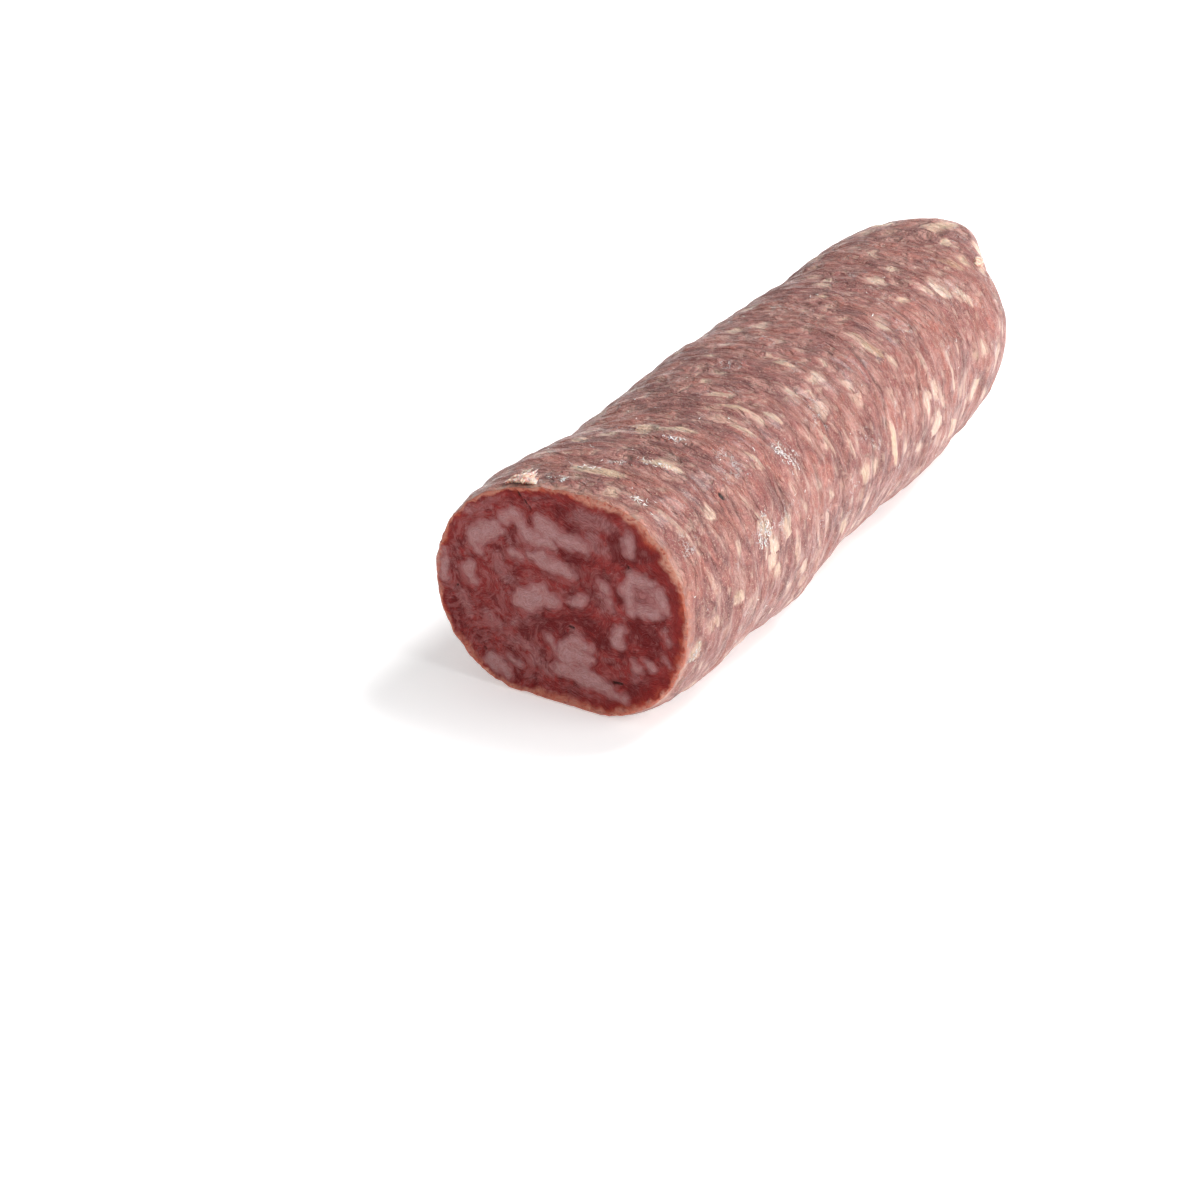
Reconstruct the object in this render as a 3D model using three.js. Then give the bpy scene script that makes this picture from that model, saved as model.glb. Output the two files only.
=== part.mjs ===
// A dry-cured salami stick with its skin peeled off, cut square at one end and still rounded at the
// other, lying on its side. Millimetres, +Z up, the stick along +Y with the cut face towards -Y.
import * as THREE from "three";

const stickLength = 156; // from the cut face to the tip of the rounded end
const girthRadius = 23.6; // mean radius of the section
const ovalness = 1.9; // how far the long radius stands out from the mean
const ovalTilt = THREE.MathUtils.degToRad(10); // the long radius points this far above +X
const threeSidedness = 0.4; // one shoulder is fuller than the other
const threeSidedTurn = THREE.MathUtils.degToRad(53); // direction of the fullest shoulder
const squareness = 0.35; // the four flattened sides that lying and hanging leave
const squareTurn = THREE.MathUtils.degToRad(46); // direction of one of the four fuller corners
const underFlat = 2.1; // pressed flat below, where the stick lies
const topFlat = 0.4; // and above, less
const flatRound = 0.7; // how softly the flats run into the sides
const centreHeight = girthRadius - ovalness - underFlat;
const topHeight = girthRadius - ovalness - topFlat;

const mouthNarrowing = 0.4; // the cut end has shrunk by this much on the radius
const mouthShift = 1.1; // and sits this far towards -X of the stick behind it
const mouthLength = 13; // the stretch where both fade out

const cutEdge = 0.5; // wear on the rim of the cut face
const endLength = 28; // the stretch where the far end closes
const endBluntness = 4; // higher is flatter at the tip
const endShoulder = 2.5; // higher is squarer at the shoulder
const tipRise = 3.6; // the tip sits this far above the stick's axis
const tipShift = -1.8; // and this far along X
const endTaper = 0.045; // share of the radius lost over the taper before the end
const taperLength = 34;
const endLeanUp = 0.27; // the top of the far end reaches further than its underside
const endLeanSide = -0.1; // the -X side reaches further than the +X side
const leanLength = 46; // the stretch over which that lean sets in

// Hollows (positive depth) and swellings (negative) left by stuffing and drying.
// along: from the cut face; around: degrees from +X towards +Z; reach: along; spread: around.
const dents = [
  { along: 35, around: 128, depth: 1.5, reach: 10, spread: 17 },
  { along: 14, around: 128, depth: -0.4, reach: 9, spread: 16 },
  { along: -1, around: -80, depth: 0.7, reach: 7, spread: 22 },
  { along: 17, around: -40, depth: -1.0, reach: 12, spread: 16 },
  { along: 42, around: -32, depth: -1.3, reach: 17, spread: 18 },
  { along: 69, around: -30, depth: 0.6, reach: 5, spread: 14 },
  { along: 86, around: -34, depth: 0.5, reach: 4.5, spread: 13 },
  { along: 121, around: -26, depth: 0.6, reach: 6, spread: 15 },
  { along: 101, around: -30, depth: -0.5, reach: 9, spread: 15 },
  { along: 78, around: 120, depth: 0.4, reach: 8, spread: 16 },
  { along: 58, around: 60, depth: 0.6, reach: 10, spread: 14 },
  { along: 112, around: 82, depth: 0.5, reach: 9, spread: 16 },
  { along: 92, around: 190, depth: 0.9, reach: 9, spread: 15 },
  { along: 50, around: 205, depth: -0.6, reach: 12, spread: 15 },
  { along: 128, around: 170, depth: 0.7, reach: 8, spread: 14 },
  { along: stickLength - 5, around: 34, depth: 3.2, reach: 13, spread: 9 },
];
const rippleDepth = 0.22; // the slight unevenness everywhere else
const rippleLengths = [5.3, 8.9]; // radians of ripple are this many millimetres along

const aroundCount = 56; // facets around the stick
const sideCount = 38; // rings along the side
const endCount = 11; // rings on the far end
const faceShares = [0.4, 0.75]; // rings on the cut face, as shares of its radius

// A larger-of-two that is rounded where the two meet and exact away from there.
function softMax(a, b, round) {
  const near = Math.max(round - Math.abs(a - b), 0) / round;
  return Math.max(a, b) + (near * near * round) / 4;
}

function wrapTurn(angle) {
  return Math.atan2(Math.sin(angle), Math.cos(angle));
}

// Radius at one angle and distance from the cut face, before the flats.
function sideRadius(angle, along) {
  const oval = ovalness * Math.cos(2 * (angle - ovalTilt));
  const three = threeSidedness * Math.cos(3 * (angle - threeSidedTurn));
  const square = squareness * Math.cos(4 * (angle - squareTurn));
  const narrowing = mouthNarrowing * Math.exp(-along / mouthLength);
  const taper = endTaper * THREE.MathUtils.smoothstep(along, stickLength - taperLength, stickLength);
  const rings = Math.sin(along / rippleLengths[0] + 2 * Math.sin(angle));
  const spirals = Math.sin(along / rippleLengths[1] - 3 * angle);
  const section = girthRadius + oval + three + square - narrowing;
  let radius = section * (1 - taper) + rippleDepth * (rings + spirals);
  for (const dent of dents) {
    const offAlong = (along - dent.along) / dent.reach;
    const turn = wrapTurn(angle - THREE.MathUtils.degToRad(dent.around));
    const offAround = (turn * girthRadius) / dent.spread;
    radius -= dent.depth * Math.exp(-offAlong * offAlong - offAround * offAround);
  }
  return radius;
}

// The turned profile, with the radius as a share of the full one.
function profile() {
  const sideEnd = stickLength - endLength;
  const rimShare = 1 - cutEdge / girthRadius;
  const points = [new THREE.Vector2(0, 0)];
  for (const share of [...faceShares, rimShare]) {
    points.push(new THREE.Vector2(share, 0));
  }
  for (let i = 0; i <= sideCount; i++) {
    points.push(new THREE.Vector2(1, cutEdge + ((sideEnd - cutEdge) * i) / sideCount));
  }
  for (let i = 1; i < endCount; i++) {
    const closing = Math.sin((Math.PI / 2) * (i / endCount));
    const share = Math.pow(1 - Math.pow(closing, endBluntness), 1 / endShoulder);
    points.push(new THREE.Vector2(share, sideEnd + endLength * closing));
  }
  points.push(new THREE.Vector2(0, stickLength));
  return points;
}

// Turn the profile, then give each point the section's real outline, the flats and the end's lean.
function stickGeometry() {
  const geometry = new THREE.LatheGeometry(profile(), aroundCount);
  const points = geometry.getAttribute("position");
  for (let i = 0; i < points.count; i++) {
    const along = points.getY(i);
    const share = Math.hypot(points.getX(i), points.getZ(i));
    const angle = Math.atan2(points.getZ(i), points.getX(i));
    const radius = share * sideRadius(angle, along);
    const closed = Math.max(along - stickLength + endLength, 0) / endLength;
    const shift = tipShift * closed * closed - mouthShift * Math.exp(-along / mouthLength);
    const across = radius * Math.cos(angle) + shift;
    const rise = radius * Math.sin(angle) + tipRise * closed * closed;
    const underTop = -softMax(-rise, -topHeight, flatRound);
    const height = softMax(underTop + centreHeight, 0, flatRound);
    const lean = THREE.MathUtils.smoothstep(along, stickLength - leanLength, stickLength);
    const pushed = lean * (endLeanUp * (height - centreHeight) + endLeanSide * across);
    points.setXYZ(i, across, along + pushed, height);
  }
  geometry.computeBoundingBox();
  const low = geometry.boundingBox.min;
  const high = geometry.boundingBox.max;
  geometry.translate(-(low.x + high.x) / 2, -(low.y + high.y) / 2, -low.z);
  geometry.computeVertexNormals();
  return geometry;
}

const curedMeat = new THREE.MeshStandardMaterial({ color: 0x9a5a4c, roughness: 0.55, metalness: 0 });
const sausage = new THREE.Mesh(stickGeometry(), curedMeat);
sausage.name = "sausage";

const part = new THREE.Group();
part.name = "cured_sausage";
part.add(sausage);
export default part;
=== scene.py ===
"""A peeled stick of dry-cured sausage, cut at one end, on a pale studio floor."""
import math
import random

import bpy
import numpy as np
from bpy.props import FloatProperty, FloatVectorProperty, IntProperty, PointerProperty
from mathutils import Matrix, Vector, noise
from mathutils.bvhtree import BVHTree


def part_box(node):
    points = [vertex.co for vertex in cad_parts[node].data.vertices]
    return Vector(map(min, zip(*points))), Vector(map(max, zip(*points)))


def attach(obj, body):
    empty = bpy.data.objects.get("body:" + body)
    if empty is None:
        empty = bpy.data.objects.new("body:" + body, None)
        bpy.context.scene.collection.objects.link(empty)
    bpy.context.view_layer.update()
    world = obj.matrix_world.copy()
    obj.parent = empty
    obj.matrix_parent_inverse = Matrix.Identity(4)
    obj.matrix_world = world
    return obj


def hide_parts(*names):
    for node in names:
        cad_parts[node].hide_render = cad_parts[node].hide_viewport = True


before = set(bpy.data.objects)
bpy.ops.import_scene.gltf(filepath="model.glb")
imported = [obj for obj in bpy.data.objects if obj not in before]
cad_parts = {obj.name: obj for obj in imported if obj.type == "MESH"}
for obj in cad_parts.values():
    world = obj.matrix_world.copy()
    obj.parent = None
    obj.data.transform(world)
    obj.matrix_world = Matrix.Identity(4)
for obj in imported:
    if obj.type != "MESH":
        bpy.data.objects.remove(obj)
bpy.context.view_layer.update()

bl_info = {
    "name": "Cured Sausage",
    "version": (1, 0, 0),
    "blender": (4, 5, 0),
    "location": "View3D > Sidebar > Sausage",
    "description": "Builds a peeled stick of dry-cured sausage with its marbled cut face",
    "category": "Add Mesh",
}

MM = 0.001
STICK_LOW, STICK_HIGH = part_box("sausage")
FACE_Y = STICK_LOW.y
AXIS_HEIGHT = 20.1 * MM  # the middle of the cut face, above the surface
MEAN_RADIUS = 23.6 * MM
GRAIN_STRETCH = 0.76  # distances round the stick are shortened by this in the grain, which draws it out

# How finely the stick's surface is laid out: rows from the middle of the cut face to the tip.
COLUMNS = 256
FACE_ROWS = 46
RIM_ROWS = 4
SIDE_ROWS = 252
NOSE_ROWS = 62
NOSE_DEPTH = 34 * MM  # the nose rows fan out from a point this far before the tip
RIM_ROUND = 0.6 * MM
WORN_RIM = 0.7 * MM  # the solid's own worn rim, skipped when its side is measured
EVEN_ROUND, EVEN_ALONG = 4.5, 5.0  # how many columns and rows the solid's facets are evened out over

# Relief of the side; depths, rises, widths and heights are in mm.
GRAIN_RELIEF = 0.36
CREAM_RISE = 0.3
CREASE_HALF_WIDTH = 0.42
CREASE_FULL = 0.26  # a crease this deep gets its painted shade at full strength
PIT_DEPTH = 0.9
PIT_HALF_ALONG, PIT_HALF_ROUND = 0.5, 0.85
PLEAT_DEPTH = 0.34
DIMPLE_DEPTH = 1.5
RIM_BARE, RIM_FULL = 0.2, 2.2  # relief starts this far from the cut face and is whole from there
REST_EASE = 0.35  # the underside is pressed flat, eased over this height
PLEATS_ROUND, FINE_PLEATS_ROUND = 11, 17  # how many pleats the nose gathers into
DIMPLE_SHARE = 0.12  # share of the nose that the dimple at the tip takes
MARK_SLANT = 0.16  # marks lean by this much of their run round the stick

# The cut face, in mm.
FAT_WANDER, FAT_WANDER_SIZE = 0.5, 2.7  # how far the fat's outlines wander, and over what distance
LEAN_SUNK = 0.35  # how far the face lies behind its rim
CUT_PIT_DEPTH = 0.45
RIM_NICK, RIM_FINE_NICK = 0.42, 0.12
NO_FAT = -3.0  # depth inside a piece of fat or lean that stands for none near

# Where the side's island and the cut face's disc lie in the UV square.
SIDE_START, SIDE_WIDTH = 0.004, 0.70
DISC_X, DISC_Y, DISC_WIDTH = 0.855, 0.5, 0.27

FLESH_RADIUS = (1.0, 0.28, 0.18)  # how far red, green and blue light soak in, as shares of the depth
GREASE, GREASE_ROUGHNESS = 0.25, 0.28
# How deep light soaks into the stick, the flap and the flakes, and how high their fine relief stands.
SOAK_DEPTH, FLAP_SOAK_DEPTH, FLAKE_SOAK_DEPTH = 0.8 * MM, 1.2 * MM, 0.5 * MM
SIDE_BUMP, FACE_BUMP, FLAP_BUMP, FLAKE_BUMP = 0.6 * MM, 0.24 * MM, 0.15 * MM, 0.05 * MM
# Painted shade: near black laid in the open pits and cracks, where little light gets in.
HOLE_SHADE, CUT_HOLE_SHADE = (0.02, 0.006, 0.004), (0.03, 0.008, 0.006)
TOP_SHEEN = (0.33, 0.25, 0.235)  # painted sheen: pale grey laid on what faces up, as light from above glances off it

# Fat in the cut face: middle line from (x, z) to (x, z) and half width, in mm on the face's plane.
FACE_FAT = [
    (-17.3, 28.2, -13.5, 30.8, 2.0), (-18.1, 26.8, -17.2, 25.6, 1.2), (-13.4, 31.0, -12.2, 30.4, 1.0),
    (-18.9, 21.6, -18.0, 19.6, 1.35), (-11.6, 33.0, -9.9, 34.2, 0.9), (-9.8, 34.2, -7.2, 32.0, 1.15),
    (-6.8, 31.1, -3.2, 30.3, 1.85), (-4.0, 33.2, -0.8, 32.2, 1.95), (-0.8, 32.0, 3.8, 31.0, 1.6),
    (-10.0, 26.8, -8.4, 26.6, 0.8), (-6.4, 27.2, -4.2, 27.2, 1.0), (-4.2, 26.9, 0.8, 25.6, 1.75),
    (-8.3, 18.2, -4.4, 21.2, 1.9), (-7.4, 18.4, -5.2, 19.6, 2.5), (-2.8, 19.7, -1.0, 20.3, 1.6),
    (0.4, 20.6, 1.0, 20.4, 1.0), (3.0, 21.0, 3.6, 21.4, 1.05), (12.1, 34.6, 12.6, 32.4, 1.35),
    (13.0, 28.0, 16.4, 27.6, 1.6), (12.0, 26.0, 12.7, 22.0, 1.35), (15.2, 22.4, 18.0, 23.0, 1.55),
    (17.8, 26.4, 19.0, 23.6, 1.45), (8.6, 22.6, 9.3, 20.7, 0.6), (10.2, 15.6, 10.8, 17.4, 1.65),
    (7.4, 24.8, 8.6, 24.0, 0.85), (0.6, 10.2, 4.0, 10.4, 2.25), (1.8, 12.8, 4.4, 12.6, 1.5),
    (-2.9, 12.0, -1.6, 10.1, 0.95), (-0.8, 6.8, 3.6, 7.0, 1.6), (3.8, 7.0, 8.0, 5.8, 2.05),
    (8.4, 5.2, 11.8, 4.6, 1.2), (13.4, 11.7, 14.2, 11.3, 0.85), (16.4, 12.9, 16.9, 11.9, 0.7),
    (-24.3, 23.2, -24.0, 18.8, 1.35), (-14.6, 4.9, -11.6, 3.4, 1.55), (-10.7, 6.5, -9.1, 5.4, 0.7),
    (19.2, 19.3, 20.0, 18.1, 0.55), (19.2, 14.6, 20.4, 13.4, 0.7),
]
# Thin fat that the knife has smeared or that lies just under the face.
FACE_VEILS = [
    (3.7, 36.6, 8.4, 36.1, 2.1), (13.6, 25.6, 16.8, 25.0, 2.6), (5.0, 33.6, 7.4, 31.4, 1.1),
    (-19.0, 32.5, -15.2, 34.0, 0.7), (-15.3, 13.2, -13.1, 12.2, 1.2), (-11.4, 22.1, -10.2, 21.8, 0.9),
    (-4.6, 15.0, -9.8, 13.6, 1.0), (11.8, 37.2, 13.0, 36.2, 0.8), (1.6, 14.8, 2.8, 14.4, 0.9),
    (14.0, 8.8, 16.0, 9.2, 1.0), (-6.2, 7.6, -3.2, 5.4, 1.1), (6.8, 24.4, 7.8, 20.6, 0.9),
    (-13.6, 25.6, -12.0, 22.4, 1.1), (-10.6, 9.8, -5.6, 9.4, 0.9), (-20.8, 16.2, -19.0, 13.0, 1.0),
    (15.2, 25.6, 15.8, 24.8, 0.6),
]
# Deep red, well-cured lean that shows between the fat, darker than the rest.
FACE_DARK = [
    (-7.6, 13.2, 3.0, 17.6, 1.6), (4.0, 17.6, 7.4, 14.8, 1.9), (14.0, 18.6, 17.6, 15.4, 2.2),
    (-0.6, 37.0, 2.6, 34.6, 1.0), (10.0, 33.4, 16.6, 33.0, 2.2), (-1.0, 29.2, 6.0, 28.6, 0.8),
    (17.0, 8.8, 13.0, 6.6, 1.6), (-11.4, 30.4, -11.0, 28.6, 0.9), (4.6, 24.2, 6.4, 22.0, 1.0),
]
# Pits and a hair crack in the cut face, as above; the last number is still the half width.
FACE_PITS = [
    (1.0, 15.5, 1.7, 15.3, 0.26), (9.4, 7.1, 11.2, 7.3, 0.22), (-9.2, 38.8, -6.6, 35.8, 0.1),
    (12.0, 29.8, 12.3, 29.6, 0.18), (-21.6, 17.6, -21.4, 17.4, 0.2), (-16.2, 6.6, -16.0, 6.4, 0.16),
]

# Marks on the side: mm from the cut face, degrees from +X towards +Z, half length round the stick
# and half width along it in mm, and strength.
CREAM_MARKS = [
    (46.9, 52, 1.9, 1.1, 1.0), (78.0, 9, 4.4, 1.2, 1.0), (17.5, 66, 3.6, 1.0, 1.0),
    (9.0, 86, 5.4, 1.5, 0.9), (5.0, 68, 3.4, 0.8, 0.6), (30.0, 78, 4.2, 1.1, 0.9),
    (30.4, 95, 3.6, 0.9, 0.9), (38.0, 55, 3.0, 0.8, 0.8), (65.7, 69, 2.4, 1.0, 0.8),
    (144.8, 80, 3.6, 1.3, 0.9), (33.0, 43, 2.2, 0.7, 0.8), (27.0, 20, 2.4, 0.9, 0.7),
    (56.0, 30, 3.2, 0.8, 0.7), (62.0, 22, 3.4, 0.7, 0.7), (24.0, 34, 2.2, 0.6, 0.7),
    (13.0, 30, 4.2, 0.7, 0.6), (6.0, 44, 4.0, 0.9, 0.7), (97.0, 30, 3.0, 0.9, 0.7),
    (108.0, 14, 3.4, 0.8, 0.8), (126.0, 40, 3.0, 1.0, 0.8), (88.0, 82, 3.2, 0.8, 0.5),
    (21.0, -6, 4.0, 0.9, 0.6), (36.0, 2, 4.2, 1.0, 0.7), (47.0, -12, 3.6, 0.9, 0.6),
    (44.0, 66, 3.8, 1.3, 0.8), (41.0, 74, 3.0, 0.8, 0.6), (118.0, 62, 2.8, 0.9, 0.6),
    (8.0, 12, 4.6, 0.8, 0.6),
]
YELLOW_MARKS = [
    (86.0, 47, 2.6, 1.1, 1.0), (78.0, 8, 3.4, 0.9, 0.6), (132.0, 58, 3.2, 1.6, 0.7),
    (43.0, 69, 4.2, 2.0, 0.5), (10.0, 80, 4.6, 2.0, 0.5), (20.0, 44, 3.2, 1.2, 0.4),
    (103.0, 55, 2.2, 1.0, 0.5),
]
DARK_MARKS = [
    (24.7, 64, 6.0, 1.9, 0.7), (20.0, 74, 6.5, 1.8, 0.6), (21.3, 106, 5.4, 1.8, 0.6),
    (95.0, 72, 3.4, 1.1, 1.0), (143.5, 68, 3.2, 2.0, 0.8), (130.0, 64, 1.8, 1.1, 0.7),
    (35.0, 60, 3.2, 0.9, 0.7), (14.0, 48, 4.4, 1.1, 0.6), (18.0, 26, 4.0, 1.0, 0.5),
    (32.0, 26, 3.0, 1.3, 0.7), (40.0, 44, 2.6, 1.0, 0.6), (9.0, 22, 5.0, 1.3, 0.5),
    (76.0, 62, 5.0, 1.4, 0.5), (68.0, 88, 5.2, 1.5, 0.4), (112.0, 44, 3.0, 1.2, 0.6),
    (139.0, 24, 3.4, 1.2, 0.7), (38.0, 100, 5.4, 1.6, 0.5), (2.6, 108, 7.0, 1.4, 0.5),
    (55.0, 58, 3.0, 0.9, 0.5),
]
BLOOM_MARKS = [
    (42.3, 36, 2.6, 2.6, 1.0), (40.8, 40, 1.6, 1.4, 0.9), (26.7, 21, 1.7, 1.2, 0.8),
    (24.5, 16, 1.0, 1.6, 0.7), (17.0, 68, 3.0, 1.0, 0.6), (9.5, 92, 2.4, 1.0, 0.6),
    (5.0, 60, 1.6, 0.8, 0.5), (26.0, 72, 2.0, 0.8, 0.6), (3.4, 97, 2.0, 0.8, 0.6),
    (14.0, 84, 2.2, 0.9, 0.5), (3.0, -12, 1.2, 1.2, 0.7), (60.0, 92, 3.0, 1.6, 0.4),
]
# Creases that run mostly round the stick: mm from the face and degrees at each end, depth in mm.
CREASES = [
    (60.4, 48, 56.6, 26, 0.28), (82.0, 58, 78.6, 30, 0.30), (78.6, 30, 75.0, 15, 0.26),
    (18.8, 58, 16.2, 32, 0.24), (21.4, 38, 20.6, 24, 0.26), (23.4, 60, 19.6, 44, 0.18),
    (12.6, 50, 11.2, 22, 0.16), (34.6, 34, 33.4, 12, 0.2), (70.4, 26, 67.8, -4, 0.22),
    (49.6, 40, 46.8, 10, 0.16), (95.6, 40, 91.2, 8, 0.2), (28.6, 52, 26.2, 28, 0.16),
    (105.0, 66, 101.6, 34, 0.18), (39.4, 104, 41.6, 78, 0.16), (27.2, 112, 29.0, 84, 0.16),
    (55.4, 110, 58.2, 80, 0.18),
]
# Broad swells and hollows: mm from the face, degrees, reach round and along in mm, height in mm.
SWELLS = [
    (152, 84, 15, 10, 3.0), (128, 112, 14, 10, 0.5), (75, 128, 16, 55, 0.7), (148, 44, 6, 5, -0.9),
    (26, 24, 12, 9, 0.3), (52, -15, 14, 6, -0.5), (96, -10, 12, 7, 0.4), (3, -60, 12, 4, 0.5),
    (118, -8, 12, 8, -0.4), (12, 150, 9, 8, 0.6), (104, 205, 14, 12, 0.5), (46, 190, 12, 9, -0.5),
    (80, 170, 14, 10, 0.4),
]
# Places on the side, in mm from the cut face and degrees.
PIT = (20.5, 40)  # the one open hole in the side
NUB = (141.0, 49)  # a lump of yellow fat that stands out near the tip

# The dry flakes: where the loose ones lie in mm from the face and degrees, and sizes in mm.
FLAKE_SEED = 41
GATHERED_SHARE = 0.62  # share of the flakes that lie on the bloom marks
FLAKE_SPAN, FLAKE_TURN = (1.0, 118.0), (-50, 230)
NEAREST_FLAKE = 0.9  # no flake lies nearer the cut face than this
FLAKE_LENGTH, FLAKE_WIDTH, FLAKE_HALF_THICK = (0.3, 1.3), (0.09, 0.24), 0.035

# The torn flap: degrees at each end and how far back from the rim it starts there, in mm.
FLAP_FROM, FLAP_TO = 125.0, 106.0
FLAP_FRONT_FROM, FLAP_FRONT_TO = 2.0, 1.1
FLAP_NEAREST = 0.35  # no part of it starts nearer the cut face than this

# The lump of fat near the tip: half sizes, and rise over the skin, in mm.
LUMP_HALF_ROUND, LUMP_HALF_ALONG, LUMP_RISE = 1.1, 1.9, 0.6
LUMP_LIFT = 0.15  # how far its middle lies over the skin

# The three square lights: name, side and place in metres. All are aimed at the middle of the stick.
LIGHTS = [
    ("key", 0.45, (0.4, 0.55, 1.0)),
    ("side", 0.8, (1.15, 0.1, 0.6)),
    ("fill", 0.8, (-0.55, -0.95, 0.6)),
]
LIGHT_AIM = (0, 0, 0.02)
NEAR_GLOW = 0.6  # share of the floor's glow round the stick
GLOW_NEAR, GLOW_FAR = 0.5, 2.4  # metres from the stick where the glow starts to rise and is whole


def color_property(name, description, default):
    """A colour that a user can pick."""
    return FloatVectorProperty(
        name=name, description=description, subtype="COLOR", size=3, min=0, max=1, default=default)


def depth_property(name, description, default):
    """A small length that is never negative."""
    return FloatProperty(
        name=name, description=description, default=default, min=0.0, subtype="DISTANCE", unit="LENGTH")


class SausageSettings(bpy.types.PropertyGroup):
    """Sizes and colours of the stick that a user would change."""

    wrinkle_depth: depth_property("Wrinkle Depth", "Depth of the fine wrinkles round the stick", 0.09 * MM)
    lump_height: depth_property("Lump Height", "Height of the low lumps left by the stuffing", 0.4148 * MM)
    fat_relief: depth_property(
        "Fat Relief", "How far the fat stands proud of the lean in the cut face", 0.12 * MM)
    flake_count: IntProperty(
        name="Flakes", description="Loose dry flakes left on the side", default=340, min=0)
    lean_dark: color_property("Dry Lean, Dark", "Darkest dried lean on the outside", (0.190, 0.055, 0.050))
    lean_mid: color_property(
        "Dry Lean", "Usual colour of the dried lean on the outside", (0.322, 0.095, 0.083))
    lean_warm: color_property(
        "Dry Lean, Warm", "Salmon-coloured lean where it is thin", (0.495, 0.160, 0.118))
    fat_cream: color_property("Dry Fat", "Cream-coloured fat on the outside", (0.850, 0.615, 0.475))
    fat_pink: color_property("Dry Fat, Pink", "Fat with lean showing through it", (0.532, 0.258, 0.216))
    fat_yellow: color_property("Old Fat", "Yellowed fat on the outside", (0.740, 0.520, 0.300))
    cut_lean: color_property("Cut Lean", "Lean meat in the cut face", (0.285, 0.026, 0.023))
    cut_lean_dark: color_property("Cut Lean, Dark", "Deep red lean in the cut face", (0.125, 0.003, 0.004))
    cut_fat: color_property("Cut Fat", "Fat in the cut face", (0.462, 0.243, 0.239))
    dry_rim: color_property("Dry Rim", "Dried ring at the edge of the cut face", (0.520, 0.090, 0.045))
    bloom: color_property("Bloom", "White dusty bloom and flakes", (0.930, 0.880, 0.860))


class StageSettings(bpy.types.PropertyGroup):
    """The floor, the lights and the camera."""

    floor_color: color_property("Floor Colour", "Plain pale floor", (0.93, 0.93, 0.93))
    floor_size: FloatProperty(
        name="Floor Size", description="Side of the square floor", default=8.0, unit="LENGTH")
    key_power: FloatProperty(
        name="Key Power", description="Large light above and behind the stick", default=12.5)
    side_power: FloatProperty(
        name="Side Power", description="Soft light from the right", default=12.0)
    fill_power: FloatProperty(
        name="Fill Power", description="Soft light near the camera", default=0.4)
    sky_strength: FloatProperty(
        name="Surround", description="Strength of the even white surround", default=0.37)
    floor_glow: FloatProperty(
        name="Floor Glow", description="Light that the floor gives off", default=0.66)
    camera_turn: FloatProperty(
        name="Camera Turn", description="Camera's turn round the stick from the cut face",
        default=math.radians(30.16), subtype="ANGLE", unit="ROTATION")
    camera_rise: FloatProperty(
        name="Camera Rise", description="Camera's angle above the floor",
        default=math.radians(28.53), subtype="ANGLE", unit="ROTATION")
    camera_offset: FloatVectorProperty(
        name="Camera Place", description="Camera's place from the foot of the cut face's middle",
        subtype="TRANSLATION", unit="LENGTH", size=3, default=(0.1746, -0.2883, 0.2038))
    lens: FloatProperty(name="Lens", description="Focal length in mm", default=69.0)


# ---------------------------------------------------------------- surface layout

def field(points, size, octaves=2, seed=0.0):
    """Smooth noise, about -1 to 1, at each point; size is a feature's size in the points' unit."""
    flat = points.reshape(-1, 3) / size + seed
    values = [noise.fractal(Vector(p), 1.0, 2.0, octaves) for p in flat]
    return np.array(values).reshape(points.shape[:-1])


def smooth_rows(grid, around, along):
    """Blurs a grid of rows by columns; the columns close on themselves."""
    def kernel(width):
        reach = int(math.ceil(3 * width))
        steps = np.arange(-reach, reach + 1)
        weights = np.exp(-0.5 * (steps / width) ** 2)
        return reach, weights / weights.sum()

    reach, weights = kernel(around)
    grid = sum(w * np.roll(grid, k - reach, axis=1) for k, w in enumerate(weights))
    reach, weights = kernel(along)
    padded = np.pad(grid, ((reach, reach), (0, 0)), mode="reflect", reflect_type="odd")
    return sum(w * padded[k:k + len(grid)] for k, w in enumerate(weights))


def soft_step(values, low, high):
    """0 below low, 1 above high, eased between."""
    share = np.clip((values - low) / (high - low), 0.0, 1.0)
    return share * share * (3.0 - 2.0 * share)


def capsule_depth(x, z, pieces, waver):
    """Depth in mm inside the nearest of the pieces (negative outside), with wavering edges."""
    depth = np.full(x.shape, -9.0)
    for x0, z0, x1, z1, half in pieces:
        run = np.array([x1 - x0, z1 - z0])
        share = np.clip(((x - x0) * run[0] + (z - z0) * run[1]) / (run @ run), 0.0, 1.0)
        gap = np.hypot(x - x0 - share * run[0], z - z0 - share * run[1])
        depth = np.maximum(depth, half * (1.0 - 0.25 * share) - gap)
    return depth + waver


def arc_from(angle, degrees):
    """Distance in mm round the stick from a place given in degrees, the short way."""
    turn = (angle - math.radians(degrees) + math.pi) % (2 * math.pi) - math.pi
    return turn * MEAN_RADIUS / MM


def mark_strength(along, angle, marks, waver):
    """Strength 0 to 1 of oval marks on the side, with wavering edges."""
    total = np.zeros(along.shape)
    for at, degrees, half_round, half_along, strength in marks:
        arc = arc_from(angle, degrees)
        reach = np.sqrt((arc / half_round) ** 2 + ((along - at + MARK_SLANT * arc) / half_along) ** 2)
        total = np.maximum(total, strength * soft_step(1.45 - reach + waver, 0.0, 0.75))
    return total


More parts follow.
